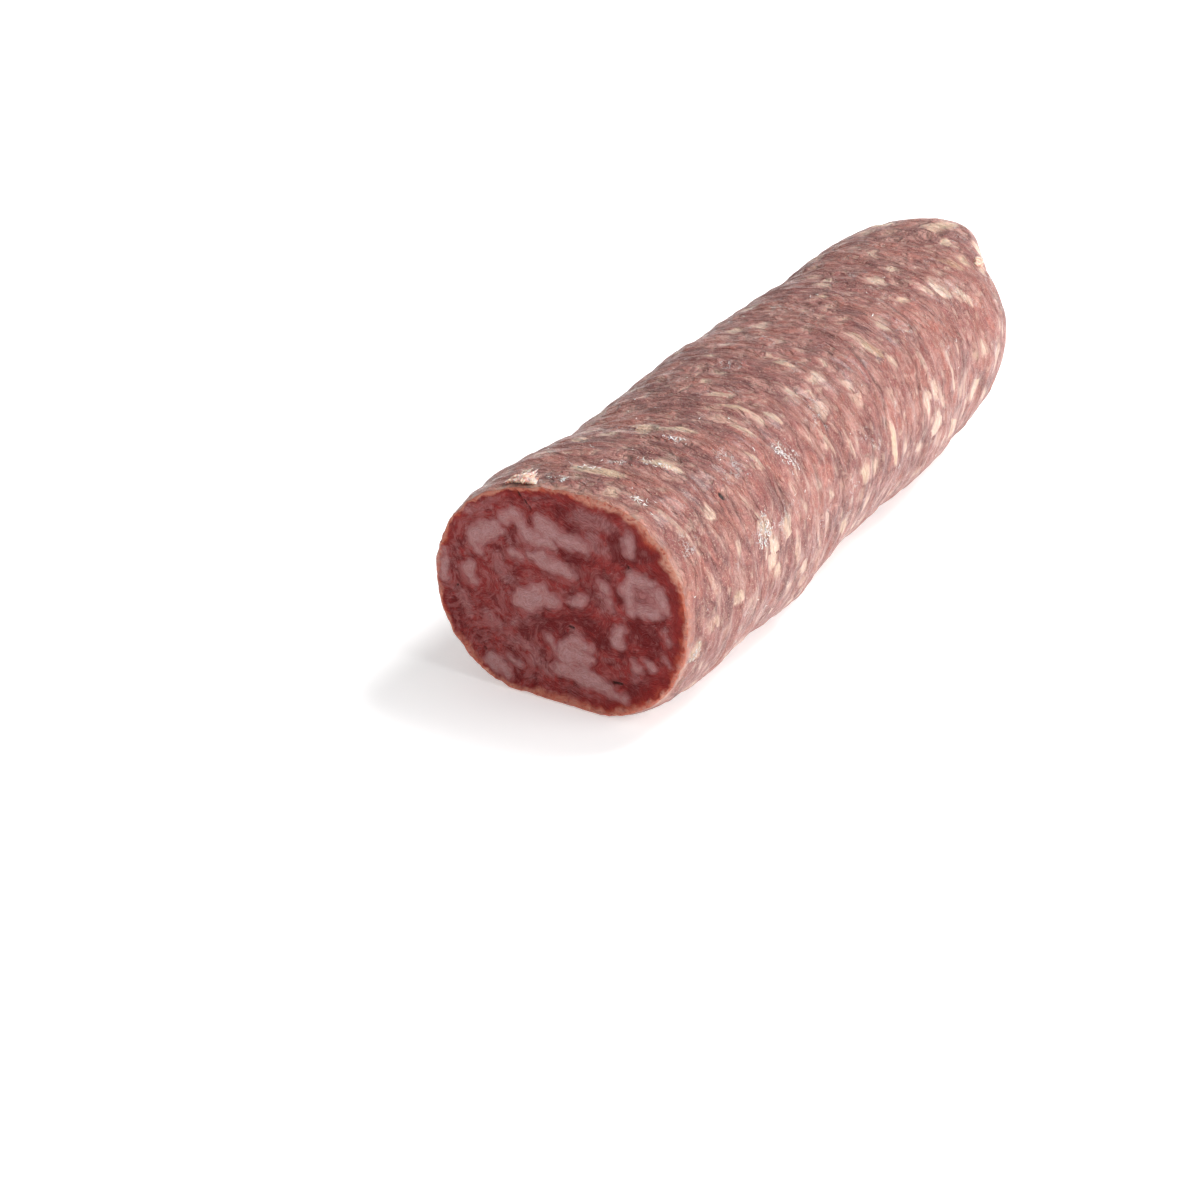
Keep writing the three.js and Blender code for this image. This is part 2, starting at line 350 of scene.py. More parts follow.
def crease_depth(along, angle, waver):
    """Depth in mm of the creases that run round the stick."""
    depth = np.zeros(along.shape)
    for a0, d0, a1, d1, deep in CREASES:
        arc = arc_from(angle, d0)
        run = np.array([a1 - a0, math.radians(d1 - d0) * MEAN_RADIUS / MM])
        share = np.clip(((along - a0) * run[0] + arc * run[1]) / (run @ run), 0.0, 1.0)
        gap = np.hypot(along - a0 - share * run[0] + waver, arc - share * run[1])
        fade = np.sin(math.pi * np.clip(share, 0.03, 0.97)) ** 0.5
        depth = np.maximum(depth, deep * fade * np.exp(-(gap / CREASE_HALF_WIDTH) ** 2))
    return depth


def swell_height(along, angle):
    """Height in mm of the broad swells and hollows."""
    height = np.zeros(along.shape)
    for at, degrees, reach_round, reach_along, rise in SWELLS:
        arc = arc_from(angle, degrees)
        height += rise * np.exp(-(arc / reach_round) ** 2 - ((along - at) / reach_along) ** 2)
    return height


def search_tree(thing):
    """A search tree of an object's faces, to cast rays at."""
    mesh = thing.data
    return BVHTree.FromPolygons([v.co for v in mesh.vertices], [p.vertices for p in mesh.polygons])


def measure_solid():
    """Rays from the axis to the CAD solid: start points, directions and distances, by row and column."""
    tree = search_tree(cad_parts["sausage"])
    angles = (np.arange(COLUMNS) / COLUMNS) * 2 * math.pi - math.pi / 2
    nose_start = STICK_HIGH.y - NOSE_DEPTH
    side_y = np.linspace(FACE_Y + WORN_RIM, nose_start, SIDE_ROWS)
    tilt = np.linspace(0, math.pi / 2, NOSE_ROWS + 1)[1:]
    starts = np.zeros((SIDE_ROWS + NOSE_ROWS, COLUMNS, 3))
    rays = np.zeros_like(starts)
    starts[:, :, 2] = AXIS_HEIGHT
    starts[:SIDE_ROWS, :, 1] = side_y[:, None]
    starts[SIDE_ROWS:, :, 1] = nose_start
    spread = np.concatenate([np.zeros(SIDE_ROWS), tilt])[:, None]
    rays[:, :, 0] = np.cos(angles) * np.cos(spread)
    rays[:, :, 1] = np.sin(spread) * np.ones(COLUMNS)
    rays[:, :, 2] = np.sin(angles) * np.cos(spread)
    reach = np.zeros(starts.shape[:2])
    for row in range(len(starts)):
        for column in range(COLUMNS):
            hit = tree.ray_cast(Vector(starts[row, column]), Vector(rays[row, column]))
            if hit[0] is None:
                raise RuntimeError("a ray from the axis missed the solid")
            reach[row, column] = hit[3]
    return angles, starts, rays, smooth_rows(reach, EVEN_ROUND, EVEN_ALONG)


def side_surface(settings):
    """Points of the side and the nose in metres, with their painting fields."""
    angles, starts, rays, reach = measure_solid()
    points = starts + rays * reach[:, :, None]
    middle = points.mean(axis=1)
    steps = np.linalg.norm(np.diff(middle, axis=0), axis=1)
    meridian = np.linalg.norm(np.diff(points, axis=0), axis=2).mean(axis=1)
    steps[SIDE_ROWS - 1:] = meridian[SIDE_ROWS - 1:]
    along = np.concatenate([[0], np.cumsum(steps)]) / MM + WORN_RIM / MM
    along = along[:, None] * np.ones(COLUMNS)
    angle = angles[None, :] * np.ones((len(along), 1))
    ring = MEAN_RADIUS / MM * GRAIN_STRETCH
    grain = np.stack([np.cos(angle) * ring, along, np.sin(angle) * ring], axis=2)
    place = points / MM
    nose = np.zeros(len(along))
    nose[SIDE_ROWS:] = np.linspace(0, 1, NOSE_ROWS)
    nose = nose[:, None] * np.ones(COLUMNS)

    waver = field(place, 1.6, 2, 3.1)
    lumps = field(place, 9.0, 2, 7.7) * 0.75 + field(place, 4.2, 2, 1.3) * 0.35
    flow = grain + 1.1 * field(grain, 5.0, 2, 4.4)[:, :, None]
    flow[:, :, [0, 2]] *= 0.3
    wrinkles = 1.0 - 2.2 * np.abs(field(flow, 1.5, 3, 9.2))
    patches = soft_step(field(place, 14.0, 2, 5.5), -0.35, 0.45)
    creases = crease_depth(along, angle, 0.5 * waver)
    pit_turn = (angle - math.radians(PIT[1])) * MEAN_RADIUS / MM
    pit = np.exp(-(((along - PIT[0]) / PIT_HALF_ALONG) ** 2 + (pit_turn / PIT_HALF_ROUND) ** 2))
    gather = soft_step(nose, 0.35, 0.95)
    folds = np.cos(PLEATS_ROUND * angle + 2.4 * field(place, 12.0, 1, 2.2) + 1.2 * nose)
    folds = folds * 0.55 + 0.45 * np.cos(FINE_PLEATS_ROUND * angle - 3.0 * nose)
    dimple = np.exp(-((1.0 - nose) / DIMPLE_SHARE) ** 2)

    lift = settings.lump_height / MM * lumps + swell_height(along, angle)
    lift += settings.wrinkle_depth / MM * wrinkles * (0.35 + 0.65 * patches)
    cream = mark_strength(along, angle, CREAM_MARKS, 0.3 * waver)
    lift += CREAM_RISE * smooth_rows(cream, 1.2, 1.2)
    lift += GRAIN_RELIEF * field(flow, 2.0, 2, 16.4)
    lift -= creases + PIT_DEPTH * pit
    lift += PLEAT_DEPTH * gather * (1 - dimple) * folds - DIMPLE_DEPTH * dimple
    lift = lift * soft_step(along, RIM_BARE, RIM_FULL)
    points = points + rays * (lift * MM)[:, :, None]
    height = points[:, :, 2]
    ease = REST_EASE * MM
    near = np.maximum(ease - np.abs(height), 0) / ease
    points[:, :, 2] = np.maximum(height, 0) + near ** 2 * ease / 4

    edge_waver = 0.35 * waver
    fields = {
        "cream": cream,
        "yellow": mark_strength(along, angle, YELLOW_MARKS, edge_waver),
        "dark": mark_strength(along, angle, DARK_MARKS, edge_waver),
        "dust": mark_strength(along, angle, BLOOM_MARKS, edge_waver),
        "crease": np.clip(creases / CREASE_FULL, 0, 1),
        "hole": pit,
        "edge": -along,
    }
    return points, grain, fields


def face_surface(rim, settings):
    """Points of the cut face from its middle out to the rim, with their painting fields."""
    centre = rim.mean(axis=0)
    rim_run = rim - centre
    even = np.linspace(0, 1, FACE_ROWS + 1)[1:-1]
    shares = 0.55 * even + 0.45 * np.sqrt(even)  # rows draw closer together towards the rim
    inner = 1.0 - RIM_ROUND / MEAN_RADIUS
    shares = shares * inner / shares[-1]
    points = centre + shares[:, None, None] * rim_run
    points[:, :, 1] = FACE_Y
    place = points / MM
    x = place[:, :, 0] + FAT_WANDER * field(place, FAT_WANDER_SIZE, 3, 15.3)
    z = place[:, :, 2] + FAT_WANDER * field(place, FAT_WANDER_SIZE, 3, 21.7)
    rim_radius = np.linalg.norm(rim_run, axis=1) / MM
    from_rim = (1.0 - shares[:, None]) * rim_radius
    fat = capsule_depth(x, z, FACE_FAT, 0.28 * field(place, 2.0, 2, 6.1))
    veil = capsule_depth(x, z, FACE_VEILS, 0.5 * field(place, 1.6, 2, 8.3))
    deep = capsule_depth(x, z, FACE_DARK, 0.8 * field(place, 2.2, 2, 2.9))
    pits = capsule_depth(place[:, :, 0], place[:, :, 2], FACE_PITS, 0.0)

    relief = settings.fat_relief / MM * soft_step(fat, -0.5, 0.5)
    relief += 0.10 * field(place, 5.0, 2, 1.9) + 0.045 * field(place, 1.1, 2, 4.9)
    relief -= CUT_PIT_DEPTH * soft_step(pits, -0.5, 0.15)
    sunk = LEAN_SUNK * soft_step(from_rim, 0.2, 3.5)
    points[:, :, 1] += (sunk - relief) * MM
    holes = soft_step(pits, -0.3, 0.1)
    return centre, points, {"fat": fat, "veil": veil, "deep": deep, "hole": holes, "edge": from_rim}


def grid_faces(first, rows, columns):
    """Quads between consecutive rows of a closed grid whose first vertex index is given."""
    quads = []
    for row in range(rows - 1):
        start = first + row * columns
        for column in range(columns):
            after = (column + 1) % columns
            quads.append((start + column, start + after, start + columns + after, start + columns + column))
    return quads


def lay_out_for_baking(mesh, rows_v, face_vertices):
    """One UV map: the side unrolled in one island, the cut face as a disc in another.

    Vertex 0 is the middle of the cut face and the last one is the tip; rings of COLUMNS lie between.
    """
    uv = mesh.uv_layers.new(name="OFBake").data
    count = len(mesh.vertices)
    place = np.empty(count * 3)
    mesh.vertices.foreach_get("co", place)
    place = place.reshape(-1, 3)
    disc_scale = DISC_WIDTH / (STICK_HIGH.x - STICK_LOW.x)
    for polygon in mesh.polygons:
        on_face = max(polygon.vertices) < face_vertices
        columns = [(v - 1) % COLUMNS for v in polygon.vertices]
        wraps = max(columns) - min(columns) > COLUMNS // 2
        for loop, vertex in zip(polygon.loop_indices, polygon.vertices):
            if on_face:
                x, _, z = place[vertex]
                uv[loop].uv = (DISC_X + x * disc_scale, DISC_Y + (z - AXIS_HEIGHT) * disc_scale)
                continue
            if vertex == count - 1:
                column = sum(columns[:2]) / 2 + 0.5
            else:
                column = (vertex - 1) % COLUMNS
                if wraps and column < COLUMNS // 2:
                    column += COLUMNS
            uv[loop].uv = (SIDE_START + SIDE_WIDTH * column / COLUMNS, rows_v[vertex])


def store(mesh, name, values, kind="FLOAT"):
    """Adds a painting field to the mesh's points."""
    data = mesh.attributes.new(name=name, type=kind, domain="POINT").data
    slot = "vector" if kind == "FLOAT_VECTOR" else "value"
    data.foreach_set(slot, np.ascontiguousarray(values, np.float32).ravel())


def stick_mesh(settings):
    """The whole stick as one closed mesh: cut face, rounded rim, side and nose."""
    side, grain, side_fields = side_surface(settings)
    nicks = field(side[0] / MM, 3.0, 3, 12.5) * RIM_NICK + field(side[0] / MM, 0.8, 2, 3.5) * RIM_FINE_NICK
    outward = side[0] - side[0].mean(axis=0)
    outward /= np.linalg.norm(outward, axis=1)[:, None]
    rim = side[0] + outward * (nicks * MM)[:, None]
    rim[:, 2] = np.maximum(rim[:, 2], 0.1 * MM)
    centre, face, face_fields = face_surface(rim, settings)

    turn = np.linspace(0, math.pi / 2, RIM_ROWS + 1)[1:]
    rim_rows = np.repeat(rim[None], RIM_ROWS, axis=0)
    last = face[-1]
    for row, angle in enumerate(turn):
        rim_rows[row] = last + (rim - last) * math.sin(angle)
        rim_rows[row, :, 1] = last[:, 1] + (FACE_Y + RIM_ROUND - last[:, 1]) * (1 - math.cos(angle))
    blend = soft_step(np.arange(len(side)), 0, 4)[:, None, None]
    side = side + (1 - blend) * (rim - side[0])[None]

    vertices = np.concatenate([
        [[centre[0], FACE_Y, centre[2]]],
        face.reshape(-1, 3), rim_rows.reshape(-1, 3), side[:-1].reshape(-1, 3), [side[-1].mean(axis=0)]])
    vertices[0, 1] = face[0, :, 1].mean()
    rows = len(face) + RIM_ROWS + len(side) - 1
    quads = grid_faces(1, rows, COLUMNS)
    first_ring = [(0, 1 + (c + 1) % COLUMNS, 1 + c) for c in range(COLUMNS)]
    start = 1 + (rows - 1) * COLUMNS
    tip = len(vertices) - 1
    last_ring = [(start + c, start + (c + 1) % COLUMNS, tip) for c in range(COLUMNS)]

    mesh = smooth_mesh("sausage_stick", vertices.tolist(), first_ring + quads + last_ring)
    face_count = COLUMNS * len(face)
    for polygon in mesh.polygons:
        polygon.material_index = 0 if max(polygon.vertices) <= face_count + COLUMNS * 2 else 1

    rim_along = np.linspace(0, WORN_RIM / MM, RIM_ROWS + 1)[:-1]
    grain_rim = np.repeat(grain[:1], RIM_ROWS, axis=0)
    grain_rim[:, :, 1] = rim_along[:, None]
    grain_all = np.concatenate([[[0, 0, 0]], (face / MM).reshape(-1, 3), grain_rim.reshape(-1, 3),
                                grain[:-1].reshape(-1, 3), [grain[-1].mean(axis=0)]])
    store(mesh, "grain", grain_all, "FLOAT_VECTOR")
    store(mesh, "place", vertices / MM, "FLOAT_VECTOR")
    for name in (*face_fields, "cream", "yellow", "dark", "dust", "crease"):
        on_face = face_fields.get(name, np.zeros(face.shape[:2]))
        on_side = side_fields.get(name, np.full(side.shape[:2], NO_FAT))
        on_rim = np.repeat(on_side[:1] if name in side_fields else on_face[-1:], RIM_ROWS, axis=0)
        if name == "edge":
            on_rim = np.repeat(-rim_along[:, None], COLUMNS, axis=1)
        store(mesh, name, np.concatenate([[on_face[0].mean()], on_face.ravel(), on_rim.ravel(),
                                          on_side[:-1].ravel(), [on_side[-1].mean()]]))

    length = np.concatenate([[0], np.repeat(np.arange(rows), COLUMNS), [rows]])
    first_side_row = len(face)
    rows_v = 0.01 + 0.98 * (length - first_side_row) / (rows - first_side_row)
    lay_out_for_baking(mesh, rows_v, 1 + face_count)
    return mesh


# ---------------------------------------------------------------- shader building

class Shading:
    """Short calls for making and joining nodes in one tree."""

    def __init__(self, tree):
        self.tree = tree

    def node(self, kind, inputs=None, **settings):
        made = self.tree.nodes.new(kind)
        for name, value in settings.items():
            setattr(made, name, value)
        for name, value in (inputs or {}).items():
            socket = made.inputs[name]
            if isinstance(value, bpy.types.NodeSocket):
                self.tree.links.new(value, socket)
            elif socket.type == "RGBA" and len(value) == 3:
                socket.default_value = (*value, 1.0)
            else:
                socket.default_value = value
        return made

    def math(self, operation, a, b=0.0, clamp=False):
        return self.node("ShaderNodeMath", {0: a, 1: b}, operation=operation, use_clamp=clamp).outputs[0]

    def add(self, a, b, clamp=False):
        return self.math("ADD", a, b, clamp)

    def times(self, a, b, clamp=False):
        return self.math("MULTIPLY", a, b, clamp)

    def sum_of(self, *parts):
        """Adds values, each times its own weight."""
        total = None
        for value, weight in parts:
            part = self.times(value, weight)
            total = part if total is None else self.add(total, part)
        return total

    def vector(self, operation, a, b):
        return self.node("ShaderNodeVectorMath", {0: a, 1: b}, operation=operation).outputs[0]

    def scaled(self, vector, scale):
        return self.node("ShaderNodeVectorMath", {0: vector, "Scale": scale}, operation="SCALE").outputs[0]

    def step(self, value, low, high, out_low=0.0, out_high=1.0):
        made = self.node("ShaderNodeMapRange", {0: value, 1: low, 2: high, 3: out_low, 4: out_high},
                         interpolation_type="SMOOTHSTEP")
        return made.outputs["Result"]

    def blend(self, share, a, b):
        made = self.node("ShaderNodeMix", {0: share, 6: a, 7: b}, data_type="RGBA", clamp_factor=True)
        return made.outputs[2]

    def clouds(self, vector, size, detail=2.0, rough=0.5):
        made = self.node("ShaderNodeTexNoise", {
            "Vector": vector, "Scale": 1.0 / size, "Detail": detail, "Roughness": rough})
        return made.outputs["Fac"]

    def warped(self, vector, size, amount, detail=2.0):
        made = self.node("ShaderNodeTexNoise", {"Vector": vector, "Scale": 1.0 / size, "Detail": detail})
        centred = self.vector("SUBTRACT", made.outputs["Color"], (0.5, 0.5, 0.5))
        return self.vector("ADD", vector, self.scaled(centred, amount))

    def attribute(self, name):
        return self.node("ShaderNodeAttribute", attribute_name=name, attribute_type="GEOMETRY").outputs

    def field(self, name):
        return self.attribute(name)["Fac"]

    def vector_field(self, name):
        return self.attribute(name)["Vector"]

    def parts(self, vector):
        return self.node("ShaderNodeSeparateXYZ", {0: vector}).outputs

    def group(self, name, **inputs):
        """Results of one of the shader groups below."""
        return self.node("ShaderNodeGroup", inputs, node_tree=bpy.data.node_groups[name]).outputs


def mixed(first, second, share):
    """A colour between two others; share is the second's part."""
    return tuple((1 - share) * a + share * b for a, b in zip(first, second))


def begin_group(name, **inputs):
    """A new shader group whose Vector input comes first; gives its builder and its given sockets."""
    tree = bpy.data.node_groups.new(name, "ShaderNodeTree")
    tree.interface.new_socket(name="Vector", in_out="INPUT", socket_type="NodeSocketVector")
    for label, default in inputs.items():
        kind = "NodeSocketFloat" if isinstance(default, float) else "NodeSocketVector"
        tree.interface.new_socket(name=label, in_out="INPUT", socket_type=kind).default_value = default
    return Shading(tree), tree.nodes.new("NodeGroupInput").outputs


def end_group(s, **results):
    """Joins the group's results to its output, in this order."""
    output = s.tree.nodes.new("NodeGroupOutput")
    for label, value in results.items():
        s.tree.interface.new_socket(name=label, in_out="OUTPUT", socket_type="NodeSocketFloat")
        s.tree.links.new(value, output.inputs[label])


def fleck_group():
    """Irregular flecks of fat, one to a cell, each with its own size and tint."""
    s, given = begin_group("fat_flecks", Size=2.0, Fill=0.5, Softness=0.2, Raggedness=0.6)
    scaled = s.scaled(given["Vector"], s.math("DIVIDE", 1.0, given["Size"]))
    pushed = s.warped(scaled, 1 / 1.7, given["Raggedness"], 3.0)
    cells = s.node("ShaderNodeTexVoronoi", {"Vector": pushed, "Scale": 1.0, "Randomness": 1.0}).outputs
    parts = s.node("ShaderNodeSeparateColor", {"Color": cells["Color"]}).outputs
    limit = s.times(given["Fill"], s.add(parts[0], 0.18))
    depth = s.math("SUBTRACT", limit, cells["Distance"])
    share = s.math("DIVIDE", depth, given["Softness"])
    end_group(s, Mask=s.step(share, -0.5, 0.5), Tint=parts[1], Swell=s.step(depth, -0.22, 0.3))


def fibre_group():
    """Fine lines along the pull of the meat, with a coarser unevenness under them."""
    s, given = begin_group("meat_fibres", Spacing=0.5, Along=(0.3, 1.0, 0.3), Waver=0.6)
    pushed = s.warped(given["Vector"], 1 / 0.33, given["Waver"], 1.0)
    drawn = s.vector("MULTIPLY", pushed, given["Along"])
    scaled = s.scaled(drawn, s.math("DIVIDE", 1.0, given["Spacing"]))
    lines = s.step(s.clouds(scaled, 1.0, 3.0, 0.62), 0.3, 0.7)
    end_group(s, Lines=lines, Bundles=s.step(s.clouds(scaled, 1 / 0.27), 0.3, 0.7))


def dust_group():
    """Small white grains and curls that gather in patches."""
    s, given = begin_group("dry_dust", Grain=0.35, Amount=0.1)
    scaled = s.scaled(given["Vector"], s.math("DIVIDE", 1.0, given["Grain"]))
    bend = s.node("ShaderNodeTexNoise", {"Vector": scaled, "Scale": 0.8, "Detail": 2.0})
    pushed = s.vector("ADD", scaled, s.scaled(bend.outputs["Color"], 1.4))
    cells = s.node("ShaderNodeTexVoronoi", {"Vector": pushed, "Scale": 1.0}, feature="DISTANCE_TO_EDGE")
    threads = s.step(cells.outputs["Distance"], 0.16, 0.02)
    gathered = s.times(threads, s.step(s.clouds(scaled, 1 / 0.45, 3.0), 0.5, 0.62))
    end_group(s, Mask=s.times(gathered, given["Amount"], clamp=True))


def new_material(name):
    """An empty node material with a Principled shader joined to its output."""
    material = bpy.data.materials.new(name)
    material.use_nodes = True
    material.node_tree.nodes.clear()
    s = Shading(material.node_tree)
    shader = s.node("ShaderNodeBsdfPrincipled")
    output = s.node("ShaderNodeOutputMaterial")
    s.tree.links.new(shader.outputs[0], output.inputs["Surface"])
    return material, s, shader


def finish_shader(s, shader, color, rough, height, depth):
    """Joins colour, roughness and relief to the shader."""
    bump = s.node("ShaderNodeBump", {"Height": height, "Distance": depth, "Strength": 1.0})
    s.tree.links.new(color, shader.inputs["Base Color"])
    s.tree.links.new(rough, shader.inputs["Roughness"])
    s.tree.links.new(bump.outputs[0], shader.inputs["Normal"])


def set_flesh(shader, weight, depth, grease):
    """Light that soaks into meat and fat, and the thin grease on them."""
    for name, value in (("Subsurface Weight", weight), ("Subsurface Radius", FLESH_RADIUS),
                        ("Subsurface Scale", depth), ("Coat Weight", grease),
                        ("Coat Roughness", GREASE_ROUGHNESS), ("Specular IOR Level", 0.4)):
        shader.inputs[name].default_value = value


def outside_material(c):
    """Dried lean and fat as they show on the peeled side."""
    material, s, shader = new_material("peeled_side")
    grain, place = s.vector_field("grain"), s.vector_field("place")
    flow = s.warped(s.warped(grain, 7.0, 4.0, 1.0), 1.8, 1.1)

    tone = s.clouds(flow, 3.4, 4.0, 0.62)
    color = s.blend(s.step(tone, 0.38, 0.58), c.lean_dark, c.lean_mid)
    warm = s.sum_of((s.clouds(place, 11.0), 0.6),
                    (s.clouds(s.vector("ADD", flow, (31.0, 7.0, 3.0)), 2.6, 3.0, 0.6), 0.5))
    color = s.blend(s.step(warm, 0.5, 0.66, 0.0, 0.75), color, c.lean_warm)
    thin = s.clouds(s.vector("ADD", flow, (3.0, 50.0, 11.0)), 1.5, 4.0, 0.62)
    color = s.blend(s.step(thin, 0.46, 0.7, 0.0, 0.55), color, c.fat_pink)

    richness = s.clouds(place, 8.0)
    mask, tint, small_swell = s.group(
        "fat_flecks", Vector=s.vector("ADD", flow, (9.0, 2.0, 40.0)), Size=1.5,
        Fill=s.step(richness, 0.3, 0.7, 0.3, 0.5), Softness=0.42, Raggedness=0.7)
    color = s.blend(s.times(mask, 0.5), color, s.blend(tint, c.fat_pink, c.fat_cream))

    mask, tint, swell = s.group(
        "fat_flecks", Vector=flow, Size=3.7, Fill=s.step(richness, 0.3, 0.7, 0.36, 0.58),
        Softness=0.62, Raggedness=0.65)
    yellowing = s.step(s.clouds(place, 13.0), 0.48, 0.68, 0.0, 0.4)
    old_fat = s.math("MAXIMUM", yellowing, s.field("yellow"))
    cream = s.blend(old_fat, c.fat_cream, c.fat_yellow)
    large_color = s.blend(s.step(tint, 0.1, 0.6), c.fat_pink, cream)
    large_color = s.blend(s.step(swell, 0.4, 1.0), c.fat_pink, large_color)
    halo = s.step(swell, 0.0, 0.7, 0.0, 0.6)
    color = s.blend(s.times(halo, s.step(tint, 0.0, 0.6, 0.3, 1.0)), color, c.fat_pink)
    over = s.step(s.clouds(flow, 1.0, 4.0, 0.68), 0.3, 0.6, 0.6, 1.0)
    color = s.blend(s.times(mask, over), color, large_color)

    ragged = s.clouds(flow, 0.8, 3.0, 0.6)
    dark_patch = s.step(s.add(s.field("dark"), s.times(ragged, 0.7)), 0.5, 1.2)
    color = s.blend(s.times(dark_patch, 0.85), color, c.lean_dark)
    mark = s.step(s.add(s.field("cream"), s.times(ragged, 0.7)), 0.58, 1.2)
    mark_color = s.blend(s.step(s.field("cream"), 0.35, 0.95), c.fat_pink, cream)
    color = s.blend(s.times(mark, 0.95), color, mark_color)
    old_patch = s.step(s.add(s.field("yellow"), s.times(ragged, 0.6)), 0.7, 1.2, 0.0, 0.5)
    color = s.blend(old_patch, color, c.fat_yellow)

    lines, bundles = s.group("meat_fibres", Vector=flow, Spacing=0.34, Along=(0.4, 1.0, 0.4), Waver=1.4)
    fat_mask = s.math("MAXIMUM", mask, mark)
    lean_share = s.step(fat_mask, 0.0, 1.0, 1.0, 0.35)
    color = s.blend(s.times(s.step(lines, 0.0, 0.8, 0.3, 0.0), lean_share), color, c.lean_dark)
    color = s.blend(s.step(bundles, 0.45, 1.0, 0.0, 0.22), color, c.fat_pink)
    mottle = s.clouds(grain, 0.6, 4.0, 0.75)
    color = s.blend(s.times(s.step(mottle, 0.5, 0.3, 0.0, 0.5), lean_share), color, c.lean_dark)
    color = s.blend(s.step(mottle, 0.5, 0.7, 0.0, 0.45), color, c.fat_pink)
    # Tiny cream specks: partly pale fat, partly painted glints that stand for small highlights.
    specks_and_glints = s.clouds(place, 0.3, 2.0, 0.6)
    color = s.blend(s.step(specks_and_glints, 0.58, 0.7, 0.0, 0.5), color, c.fat_cream)
    # Painted shade: the creases are darkened towards deep brown, as shade falls in them.
    crease_shade = tuple(0.3 * v for v in c.lean_dark)
    color = s.blend(s.times(s.field("crease"), 0.65), color, crease_shade)
    # Painted shade: the open pit is filled with near black.
    color = s.blend(s.step(s.field("hole"), 0.2, 0.6), color, HOLE_SHADE)

    edge = s.add(s.field("edge"), s.times(s.clouds(place, 1.5), 1.2))
    rim = s.step(edge, -1.6, 0.3, 0.0, 0.75)
    warm_rim = mixed(c.dry_rim, c.fat_cream, 0.3)
    rim_color = s.blend(s.step(s.clouds(grain, 1.2), 0.35, 0.65), warm_rim, c.fat_pink)
    peach = mixed(c.dry_rim, c.fat_cream, 0.65)
    rim_color = s.blend(s.step(s.clouds(place, 3.6), 0.46, 0.62, 0.0, 0.8), rim_color, peach)
    color = s.blend(rim, color, rim_color)

    patchy = s.step(s.clouds(place, 8.0, 3.0), 0.52, 0.7)
    amount = s.sum_of((s.field("dust"), 1.5), (patchy, 0.5))
    dust = s.group("dry_dust", Vector=place, Grain=0.5, Amount=amount)[0]
    color = s.blend(dust, color, c.bloom)
    # Painted sheen: what faces up is tinted pale grey as if lit from above, most where the coarse fibres
    # stand.
    upward = s.parts(s.node("ShaderNodeNewGeometry").outputs["Normal"])["Z"]
    painted_sheen = s.times(s.step(upward, 0.3, 1.0), s.step(bundles, 0.2, 1.0, 0.03, 0.1))
    color = s.blend(painted_sheen, color, TOP_SHEEN)

    rough = s.step(fat_mask, 0.0, 1.0, 0.48, 0.35)
    rough = s.add(rough, s.step(lines, 0.0, 1.0, 0.08, -0.06))
    rough = s.add(rough, s.times(dust, 0.3), clamp=True)

    pores = s.clouds(place, 0.28, 3.0, 0.65)
    height = s.sum_of((lines, 0.45), (bundles, 1.1), (mottle, 0.4), (swell, 1.7), (small_swell, 0.5),
                      (pores, 0.22), (dust, 0.35))
    finish_shader(s, shader, color, rough, height, SIDE_BUMP)
    set_flesh(shader, 0.13, SOAK_DEPTH, GREASE)
    s.tree.links.new(s.step(s.field("hole"), 0.0, 0.4, GREASE, 0.0), shader.inputs["Coat Weight"])
    return material


